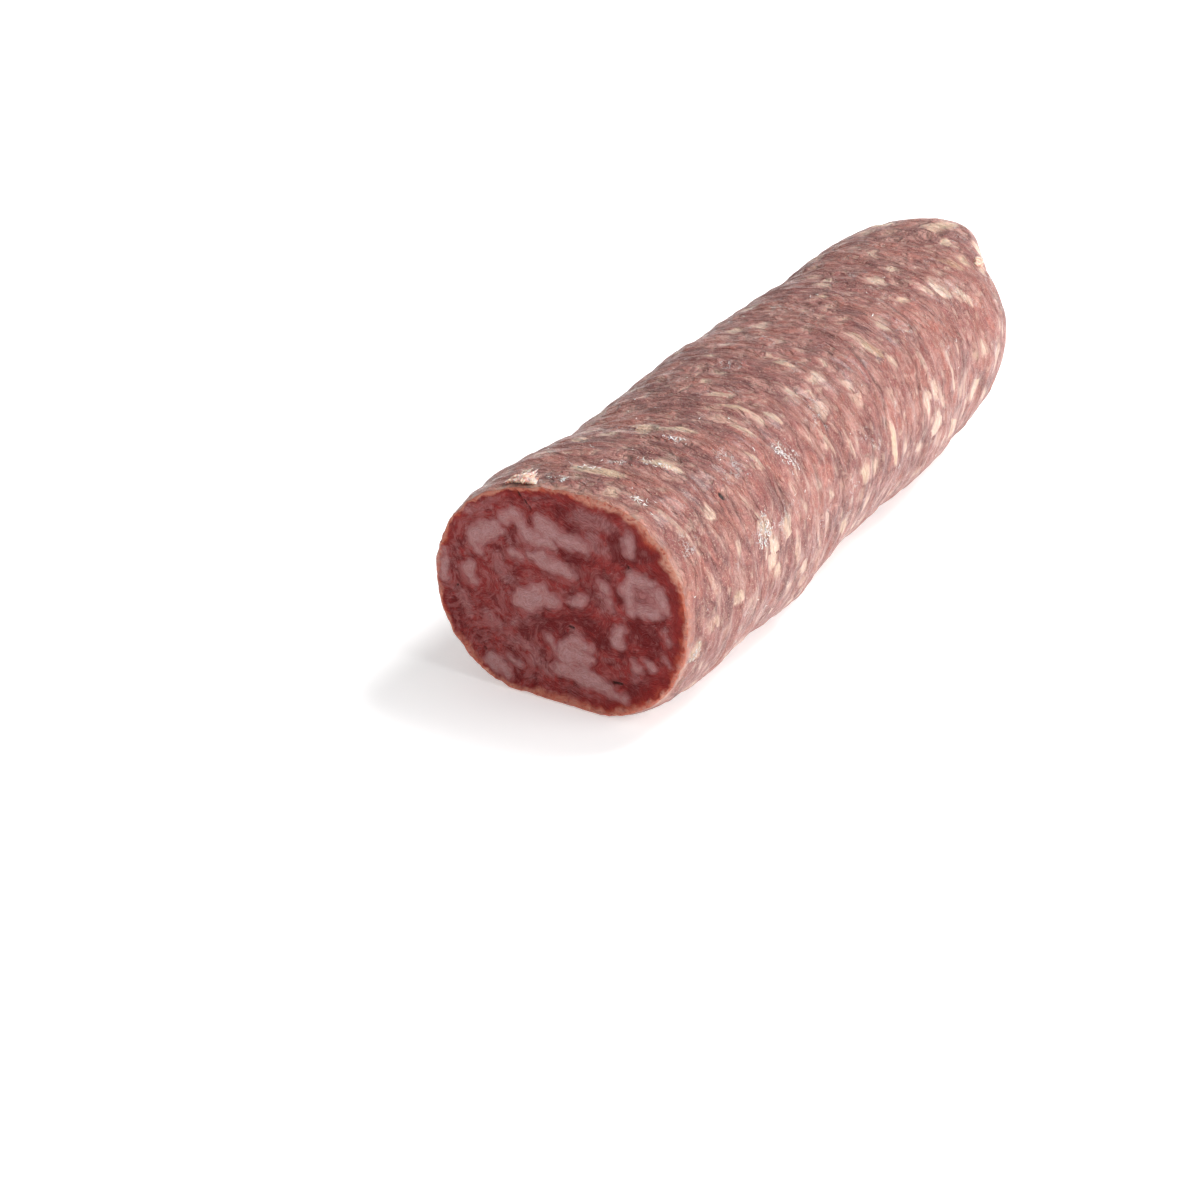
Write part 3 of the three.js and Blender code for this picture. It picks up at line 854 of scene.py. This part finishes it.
def cut_material(c):
    """Lean, fat and the dried ring as they show in the cut face."""
    material, s, shader = new_material("cut_face")
    place = s.vector_field("place")
    flow = s.warped(s.warped(place, 6.0, 3.0, 1.0), 1.8, 0.9)
    x, _, z = s.parts(place)
    # Stronger towards the left: partly knife smear, partly painted sheen that greys the left half of the
    # face.
    left_smear_and_sheen = s.step(x, 14.0, -12.0)

    tone = s.clouds(flow, 2.8, 3.0, 0.6)
    color = s.blend(s.step(tone, 0.36, 0.6), c.cut_lean_dark, c.cut_lean)
    fine = s.clouds(s.vector("ADD", flow, (17.0, 5.0, 2.0)), 1.1, 3.0, 0.62)
    pale_lean = mixed(c.cut_lean, c.cut_fat, 0.34)
    smear_and_sheen = s.times(s.step(fine, 0.42, 0.66), s.add(s.times(left_smear_and_sheen, 0.55), 0.2))
    color = s.blend(smear_and_sheen, color, pale_lean)

    dull_fat = mixed(c.cut_fat, c.cut_lean, 0.28)
    veil_depth = s.add(s.field("veil"), s.step(fine, 0.2, 0.8, -0.5, 0.6))
    color = s.blend(s.step(veil_depth, -0.9, 0.9, 0.0, 0.68), color, dull_fat)
    deep_depth = s.add(s.field("deep"), s.step(fine, 0.2, 0.8, -0.8, 0.8))
    color = s.blend(s.step(deep_depth, -0.8, 0.9, 0.0, 0.8), color, c.cut_lean_dark)
    mask, tint, _ = s.group("fat_flecks", Vector=flow, Size=1.7, Fill=0.4, Softness=0.5, Raggedness=0.7)
    color = s.blend(s.times(mask, s.step(tint, 0.2, 1.0, 0.08, 0.5)), color, dull_fat)

    waver = s.clouds(place, 2.1, 2.5)
    fat_depth = s.add(s.field("fat"), s.step(waver, 0.25, 0.75, -0.3, 0.4))
    contour = s.node("ShaderNodeCombineXYZ", {
        0: s.times(x, 0.32), 1: s.times(fat_depth, 1.5), 2: s.times(z, 0.32)}).outputs[0]
    lines, bundles = s.group("meat_fibres", Vector=contour, Spacing=0.42, Along=(1.0, 1.0, 1.0), Waver=0.7)
    color = s.blend(s.step(lines, 0.1, 0.8, 0.5, 0.0), color, c.cut_lean_dark)
    # Pale fibres: partly real, partly painted sheen where they grow stronger to the left.
    pale_lines_and_sheen = s.times(s.step(bundles, 0.55, 1.0, 0.0, 0.5), s.add(left_smear_and_sheen, 0.35))
    color = s.blend(pale_lines_and_sheen, color, pale_lean)
    sinew = s.group("meat_fibres", Vector=contour, Spacing=0.2, Along=(0.6, 1.0, 0.6), Waver=1.3)[0]
    color = s.blend(s.step(sinew, 0.7, 1.0, 0.0, 0.3), color, dull_fat)

    fat = s.step(fat_depth, -0.7, 0.8)
    fat_tone = s.clouds(s.warped(place, 1.6, 1.0), 1.3, 4.0, 0.65)
    thick = s.step(s.add(fat_depth, s.step(fat_tone, 0.25, 0.75, -1.1, 1.1)), -0.5, 1.9)
    fat_color = s.blend(thick, dull_fat, c.cut_fat)
    color = s.blend(s.times(fat, s.step(lines, 0.0, 0.7, 0.72, 0.95)), color, fat_color)
    seams = s.clouds(s.warped(place, 1.5, 1.4), 0.9, 2.0)
    seam = s.step(s.math("ABSOLUTE", s.math("SUBTRACT", seams, 0.5)), 0.035, 0.0, 0.0, 0.45)
    color = s.blend(s.times(seam, fat), color, pale_lean)

    edge = s.add(s.field("edge"), s.step(s.clouds(place, 2.6, 2.5), 0.25, 0.75, -0.9, 0.9))
    right = s.step(x, -14.0, 12.0, 1.6, 4.2)
    depth_in = s.math("DIVIDE", edge, right)
    ring = s.step(depth_in, 1.05, 0.35, 0.0, 0.8)
    red_ring = (0.95 * c.cut_lean[0], 0.6 * c.cut_lean[1], 0.55 * c.cut_lean[2])
    ring_color = s.blend(s.step(depth_in, 0.5, 0.12), red_ring, c.dry_rim)
    ring_color = s.blend(s.step(s.clouds(flow, 1.3, 3.0), 0.6, 0.35, 0.0, 0.5), ring_color, c.cut_lean_dark)
    color = s.blend(s.times(ring, s.step(fat, 0.0, 1.0, 1.0, 0.5)), color, ring_color)
    ragged = s.clouds(flow, 0.75, 3.0, 0.6)
    lip_waver = s.add(s.step(waver, 0.3, 0.7, -0.5, 0.5), s.step(ragged, 0.2, 0.8, -0.15, 0.15))
    low = s.step(z, 12.0, 4.0, 0.0, 0.9)
    top_right = s.times(s.step(x, -2.0, 7.0), s.step(z, 27.0, 33.0, 0.0, 1.2))
    lip_width = s.add(s.add(low, top_right), s.step(s.clouds(place, 4.5, 1.0), 0.35, 0.65, 0.5, 1.1))
    lip_depth = s.math("DIVIDE", s.add(s.field("edge"), lip_waver), lip_width)
    lip = s.step(lip_depth, 1.15, 0.3, 0.0, 0.9)
    # The lip's warm orange base is a painted glow of light shining through the thin edge; the pink and
    # peach patches over it are fat.
    lip_glow = mixed(c.dry_rim, c.fat_cream, 0.26)
    peach_lip = mixed(c.dry_rim, c.fat_cream, 0.5)
    lip_color = s.blend(s.step(s.clouds(place, 2.4), 0.42, 0.68), lip_glow, c.fat_pink)
    peach_patch = s.step(s.clouds(place, 3.2), 0.5, 0.7, 0.0, 0.7)
    peach_share = s.add(s.times(top_right, 0.6), peach_patch, clamp=True)
    lip_color = s.blend(peach_share, lip_color, peach_lip)
    lip_color = s.blend(s.step(ragged, 0.5, 0.3, 0.0, 0.7), lip_color, c.cut_lean)
    lip_color = s.blend(s.step(lines, 0.2, 0.8, 0.35, 0.0), lip_color, c.dry_rim)
    color = s.blend(lip, color, lip_color)
    # Painted shade: the pits and the hair crack are filled with near black.
    color = s.blend(s.step(s.field("hole"), 0.3, 0.9, 0.0, 0.9), color, CUT_HOLE_SHADE)

    patchy = s.step(s.clouds(place, 5.0), 0.54, 0.7, 0.0, 0.4)
    dust = s.group("dry_dust", Vector=place, Grain=0.45, Amount=patchy)[0]
    color = s.blend(dust, color, c.cut_fat)

    rough = s.step(fat, 0.0, 1.0, 0.5, 0.42)
    rough = s.add(rough, s.step(fine, 0.3, 0.7, -0.06, 0.1), clamp=True)
    pores = s.clouds(place, 0.22)
    height = s.sum_of((fat, 0.4), (lines, 0.4), (ragged, 0.35), (pores, 0.16), (dust, 0.4))
    finish_shader(s, shader, color, rough, height, FACE_BUMP)
    set_flesh(shader, 0.2, SOAK_DEPTH, 0.0)
    shader.inputs["Specular IOR Level"].default_value = 0.12
    return material


def torn_material(c):
    """Thin torn fat that light shines through."""
    material, s, shader = new_material("torn_fat")
    place = s.scaled(s.node("ShaderNodeTexCoord").outputs["Object"], 1.0 / MM)
    tone = s.clouds(s.warped(place, 1.0, 0.8), 0.9, 3.0)
    color = s.blend(s.step(tone, 0.36, 0.6), c.lean_warm, c.fat_cream)
    pale = s.step(s.clouds(place, 2.4), 0.46, 0.6, 0.0, 0.4)
    color = s.blend(pale, color, c.bloom)
    lines = s.group("meat_fibres", Vector=place, Spacing=0.25, Along=(0.5, 1.0, 0.5), Waver=0.8)[0]
    rough = s.step(lines, 0.0, 1.0, 0.48, 0.36)
    height = s.sum_of((lines, 0.5), (tone, 0.6))
    finish_shader(s, shader, color, rough, height, FLAP_BUMP)
    set_flesh(shader, 0.4, FLAP_SOAK_DEPTH, 0.15)
    return material


def flake_material(c):
    """Dry white curls of skin and fat."""
    material, s, shader = new_material("dry_flake")
    place = s.scaled(s.node("ShaderNodeTexCoord").outputs["Object"], 1.0 / MM)
    tone = s.clouds(place, 1.4)
    color = s.blend(s.step(tone, 0.4, 0.62), c.bloom, mixed(c.bloom, c.fat_cream, 0.5))
    fine = s.clouds(place, 0.2)
    rough = s.step(fine, 0.3, 0.7, 0.3, 0.6)
    finish_shader(s, shader, color, rough, fine, FLAKE_BUMP)
    set_flesh(shader, 0.2, FLAKE_SOAK_DEPTH, 0.0)
    return material


# ---------------------------------------------------------------- pieces

def link_object(name, data):
    """A new object in the scene."""
    made = bpy.data.objects.new(name, data)
    bpy.context.scene.collection.objects.link(made)
    return made


def add_piece(mesh, name, *materials):
    """Links a mesh as a piece that rides on the stick's body and takes the cured meat's finish."""
    for material in materials:
        mesh.materials.append(material)
    piece = link_object(name, mesh)
    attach(piece, "root")
    return piece


def smooth_mesh(name, vertices, faces):
    """A mesh with smooth shading."""
    mesh = bpy.data.meshes.new(name)
    mesh.from_pydata(vertices, [], faces)
    for polygon in mesh.polygons:
        polygon.use_smooth = True
    return mesh


def spot_on(tree, along, degrees):
    """Surface point and outward normal at mm from the face and degrees round the stick."""
    turn = math.radians(degrees)
    out = Vector((math.cos(turn), 0, math.sin(turn)))
    start = Vector((0, FACE_Y + along * MM, AXIS_HEIGHT)) + out * 3 * MEAN_RADIUS
    hit = tree.ray_cast(start, -out)
    if hit[0] is None:
        raise RuntimeError("no surface at that place on the stick")
    normal = hit[1] if hit[1].dot(out) > 0 else -hit[1]
    return hit[0], normal


class SAUSAGE_OT_stick(bpy.types.Operator):
    """Build the stick itself, with its cut face, dried side and rounded end"""

    bl_idname = "sausage.stick"
    bl_label = "Build Stick"

    def execute(self, context):
        settings = context.scene.sausage
        stick = add_piece(stick_mesh(settings), "sausage_stick", cut_material(settings),
                          outside_material(settings))
        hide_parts("sausage")
        return {"FINISHED"}


class SAUSAGE_OT_torn_fat(bpy.types.Operator):
    """Build the torn flap of fat on the cut rim and the lump of fat near the tip"""

    bl_idname = "sausage.torn_fat"
    bl_label = "Build Torn Fat"

    def execute(self, context):
        tree = search_tree(bpy.data.objects["sausage_stick"])
        material = torn_material(context.scene.sausage)
        add_piece(torn_flap(tree), "rim_flap", material)
        add_piece(fat_lump(tree), "fat_lump", material)
        return {"FINISHED"}


def ripple(x, y, z):
    """Smooth noise, about -1 to 1, at one place."""
    return noise.noise(Vector((x, y, z)))


def torn_flap(tree):
    """A thin ragged strip of fat torn loose along the top of the cut rim, with lifted tatters."""
    columns, rows = 56, 20
    top, under = [], []
    for i in range(columns + 1):
        share = i / columns
        fade = math.sin(math.pi * share) ** 0.55
        tatter = ripple(share * 7.0, 2.0, 0.0)
        tatter += 0.6 * ripple(share * 19.0, 7.0, 0.0)
        width = (3.4 + 3.2 * tatter) * fade + 0.4
        front = FLAP_FRONT_FROM + (FLAP_FRONT_TO - FLAP_FRONT_FROM) * share
        front += 0.6 * ripple(share * 13.0, 11.0, 3.0)
        for j in range(rows + 1):
            back = j / rows
            degrees = FLAP_FROM + (FLAP_TO - FLAP_FROM) * share
            point, normal = spot_on(tree, max(FLAP_NEAREST, front + width * back), degrees)
            crumple = ripple(share * 6.0, back * 3.0, 1.0)
            crumple += 0.4 * ripple(share * 15.0, back * 6.0, 4.0)
            curl = (1 - back) ** 3 * (0.2 + 0.8 * max(0.0, tatter))
            lift = 0.02 + fade * (0.2 + 0.5 * max(0.0, crumple + 0.25) + 0.9 * curl) - 0.3 * back ** 4
            ahead = Vector((0, -1, 0)) * 0.45 * fade * (1 - back) ** 3 * (1 + tatter) * MM
            thick = 0.2 + 0.14 * fade * (1 + crumple)
            top.append(point + normal * lift * MM + ahead)
            under.append(point + normal * (lift - thick - 0.35 * back - 0.25) * MM + ahead * 0.4)
    return closed_sheet("rim_flap", top, under, columns + 1, rows + 1)


def closed_sheet(name, top, under, wide, deep):
    """A closed thin body from two grids of points."""
    vertices = list(top) + list(under)
    offset = len(top)
    faces = []
    for i in range(wide - 1):
        for j in range(deep - 1):
            a, b = i * deep + j, (i + 1) * deep + j
            faces.append((a, b, b + 1, a + 1))
            faces.append((offset + a + 1, offset + b + 1, offset + b, offset + a))
    border = [i * deep for i in range(wide)]
    border += [(wide - 1) * deep + j for j in range(1, deep)]
    border += [i * deep + deep - 1 for i in range(wide - 2, -1, -1)]
    border += [j for j in range(deep - 2, 0, -1)]
    for k, a in enumerate(border):
        b = border[(k + 1) % len(border)]
        faces.append((a, offset + a, offset + b, b))
    return smooth_mesh(name, vertices, faces)


def fat_lump(tree):
    """A small uneven lump of old fat that stands out near the rounded end."""
    point, normal = spot_on(tree, *NUB)
    side = normal.cross(Vector((0, 1, 0))).normalized()
    forward = side.cross(normal).normalized()
    rings, around = 12, 24
    vertices, faces = [point + normal * (LUMP_LIFT + LUMP_RISE) * MM], []
    for ring in range(1, rings + 1):
        polar = 0.62 * math.pi * ring / rings
        for k in range(around):
            turn = 2 * math.pi * k / around
            swell = 1.0 + 0.28 * ripple(math.cos(turn) * 1.6, math.sin(turn) * 1.6, polar * 1.4)
            out = math.sin(polar) * swell
            rise = LUMP_LIFT + LUMP_RISE * math.cos(polar) * swell
            reach = side * (LUMP_HALF_ROUND * out * math.cos(turn))
            reach += forward * (LUMP_HALF_ALONG * out * math.sin(turn))
            vertices.append(point + (reach + normal * rise) * MM)
    for k in range(around):
        after = (k + 1) % around
        faces.append((0, 1 + k, 1 + after))
        for ring in range(rings - 1):
            a = 1 + ring * around
            faces.append((a + k, a + around + k, a + around + after, a + after))
    bottom = 1 + (rings - 1) * around
    faces.append(tuple(bottom + k for k in range(around - 1, -1, -1)))
    return smooth_mesh("fat_lump", vertices, faces)


class SAUSAGE_OT_flakes(bpy.types.Operator):
    """Scatter the dry flakes and curls that peeling left on the side"""

    bl_idname = "sausage.flakes"
    bl_label = "Build Flakes"

    def execute(self, context):
        settings = context.scene.sausage
        tree = search_tree(bpy.data.objects["sausage_stick"])
        add_piece(flake_mesh(tree, settings.flake_count), "dry_flakes", flake_material(settings))
        return {"FINISHED"}


def flake_mesh(tree, count):
    """Thin curled strips, most of them gathered on the dusty patches and near the cut rim."""
    draw = random.Random(FLAKE_SEED)
    vertices, faces = [], []
    for _ in range(count):
        if draw.random() < GATHERED_SHARE:
            at, degrees, half_round, half_along, _ = draw.choice(BLOOM_MARKS[:-1])
            along = at + draw.gauss(0, 0.55) * half_along
            degrees = degrees + math.degrees(draw.gauss(0, 0.6) * half_round * MM / MEAN_RADIUS)
        else:
            along = draw.uniform(*FLAKE_SPAN)
            degrees = draw.uniform(*FLAKE_TURN)
        along = max(along, NEAREST_FLAKE)
        point, normal = spot_on(tree, along, degrees)
        round_run = normal.cross(Vector((0, 1, 0))).normalized()
        heading = draw.gauss(0, 0.9)
        run = (round_run * math.cos(heading) + Vector((0, 1, 0)) * math.sin(heading)).normalized()
        across = normal.cross(run).normalized()
        length = draw.uniform(*FLAKE_LENGTH) * (0.6 + 0.4 * draw.random())
        width = draw.uniform(*FLAKE_WIDTH)
        curl = draw.uniform(0.0, 0.4) * length
        bow = draw.uniform(-0.35, 0.35) * length
        add_curl(vertices, faces, point, normal, run, across, (length, width, curl, bow), draw)
    return smooth_mesh("dry_flakes", vertices, faces)


def add_curl(vertices, faces, point, normal, run, across, sizes, draw):
    """One thin strip: a flattened tube of five rings that lies on the surface and lifts at one end."""
    length, width, curl, bow = sizes
    rings, sides = 5, 6
    first = len(vertices)
    for ring in range(rings):
        share = ring / (rings - 1)
        taper = math.sin(math.pi * (0.14 + 0.72 * share)) * draw.uniform(0.8, 1.15)
        middle = run * (share - 0.5) * length + across * bow * (share - 0.5) ** 2 * 4
        middle += normal * (0.02 + curl * share ** 2)
        for side in range(sides):
            turn = 2 * math.pi * side / sides
            offset = across * math.cos(turn) * width * 0.5 * taper
            offset += normal * math.sin(turn) * FLAKE_HALF_THICK * taper
            vertices.append(point + (middle + offset) * MM)
    for ring in range(rings - 1):
        for side in range(sides):
            a, b = first + ring * sides + side, first + ring * sides + (side + 1) % sides
            faces.append((a, b, b + sides, a + sides))
    faces.append(tuple(first + side for side in range(sides - 1, -1, -1)))
    faces.append(tuple(first + (rings - 1) * sides + side for side in range(sides)))


class SAUSAGE_OT_stage(bpy.types.Operator):
    """Lay the floor and set the lights and the camera"""

    bl_idname = "sausage.stage"
    bl_label = "Set Stage"

    def execute(self, context):
        stage = context.scene.sausage_stage
        add_floor(stage)
        for name, size, place in LIGHTS:
            add_light(name, getattr(stage, name + "_power"), size, place)
        set_surround(stage)
        add_camera(stage)
        context.scene.view_settings.view_transform = "Standard"
        return {"FINISHED"}


def add_floor(stage):
    """A plain pale floor, a hair below the stick."""
    half = stage.floor_size / 2
    mesh = bpy.data.meshes.new("floor")
    corners = [(-half, -half, 0), (half, -half, 0), (half, half, 0), (-half, half, 0)]
    mesh.from_pydata(corners, [], [(0, 1, 2, 3)])
    material, s, shader = new_material("floor")
    shader.inputs["Base Color"].default_value = (*stage.floor_color, 1.0)
    shader.inputs["Roughness"].default_value = 0.9
    shader.inputs["Specular IOR Level"].default_value = 0.1
    place = s.node("ShaderNodeTexCoord").outputs["Object"]
    distance = s.node("ShaderNodeVectorMath", {0: place}, operation="LENGTH").outputs["Value"]
    near_glow = tuple(NEAR_GLOW * v for v in stage.floor_color)
    glow = s.blend(s.step(distance, GLOW_NEAR, GLOW_FAR), near_glow, tuple(stage.floor_color))
    s.tree.links.new(glow, shader.inputs["Emission Color"])
    shader.inputs["Emission Strength"].default_value = stage.floor_glow
    mesh.materials.append(material)
    floor = link_object("floor", mesh)


def add_light(name, power, size, place):
    """A square soft light aimed at the stick."""
    data = bpy.data.lights.new(name, "AREA")
    data.shape = "SQUARE"
    data.size = size
    data.energy = power
    light = link_object(name, data)
    light.location = place
    light.rotation_euler = (Vector(LIGHT_AIM) - Vector(place)).to_track_quat("-Z", "Y").to_euler()


def set_surround(stage):
    """An even white surround."""
    world = bpy.data.worlds.new("surround")
    world.use_nodes = True
    world.node_tree.nodes.clear()
    s = Shading(world.node_tree)
    lit = s.node("ShaderNodeBackground", {"Color": (1, 1, 1, 1), "Strength": stage.sky_strength})
    seen = s.node("ShaderNodeBackground", {"Color": (1, 1, 1, 1), "Strength": 1.0})
    chosen = s.node("ShaderNodeMixShader", {
        0: s.node("ShaderNodeLightPath").outputs["Is Camera Ray"], 1: lit.outputs[0], 2: seen.outputs[0]})
    output = s.node("ShaderNodeOutputWorld")
    s.tree.links.new(chosen.outputs[0], output.inputs["Surface"])
    bpy.context.scene.world = world


def add_camera(stage):
    """The camera, placed from the foot of the cut face's middle."""
    data = bpy.data.cameras.new("camera")
    data.lens = stage.lens
    data.sensor_width = 36.0
    data.clip_start = 0.01
    camera = link_object("camera", data)
    camera.location = Vector((0, FACE_Y, 0)) + Vector(stage.camera_offset)
    camera.rotation_euler = (math.pi / 2 - stage.camera_rise, 0, stage.camera_turn)
    bpy.context.scene.camera = camera


class SAUSAGE_PT_panel(bpy.types.Panel):
    """Buttons for each group of pieces and the stage."""

    bl_idname = "SAUSAGE_PT_panel"
    bl_label = "Cured Sausage"
    bl_space_type = "VIEW_3D"
    bl_region_type = "UI"
    bl_category = "Sausage"

    def draw(self, context):
        for operator in OPERATORS:
            self.layout.operator(operator.bl_idname)
        for settings in (context.scene.sausage, context.scene.sausage_stage):
            box = self.layout.box()
            for name in settings.__annotations__:
                box.prop(settings, name)


OPERATORS = (SAUSAGE_OT_stick, SAUSAGE_OT_torn_fat, SAUSAGE_OT_flakes, SAUSAGE_OT_stage)
CLASSES = (SausageSettings, StageSettings, *OPERATORS, SAUSAGE_PT_panel)


def register():
    for cls in CLASSES:
        bpy.utils.register_class(cls)
    bpy.types.Scene.sausage = PointerProperty(type=SausageSettings)
    bpy.types.Scene.sausage_stage = PointerProperty(type=StageSettings)


def unregister():
    del bpy.types.Scene.sausage_stage
    del bpy.types.Scene.sausage
    for cls in reversed(CLASSES):
        bpy.utils.unregister_class(cls)


def main():
    """Builds everything in order."""
    register()
    fleck_group()
    fibre_group()
    dust_group()
    bpy.ops.sausage.stick()
    bpy.ops.sausage.torn_fat()
    bpy.ops.sausage.flakes()
    bpy.ops.sausage.stage()


if __name__ == "__main__":
    main()
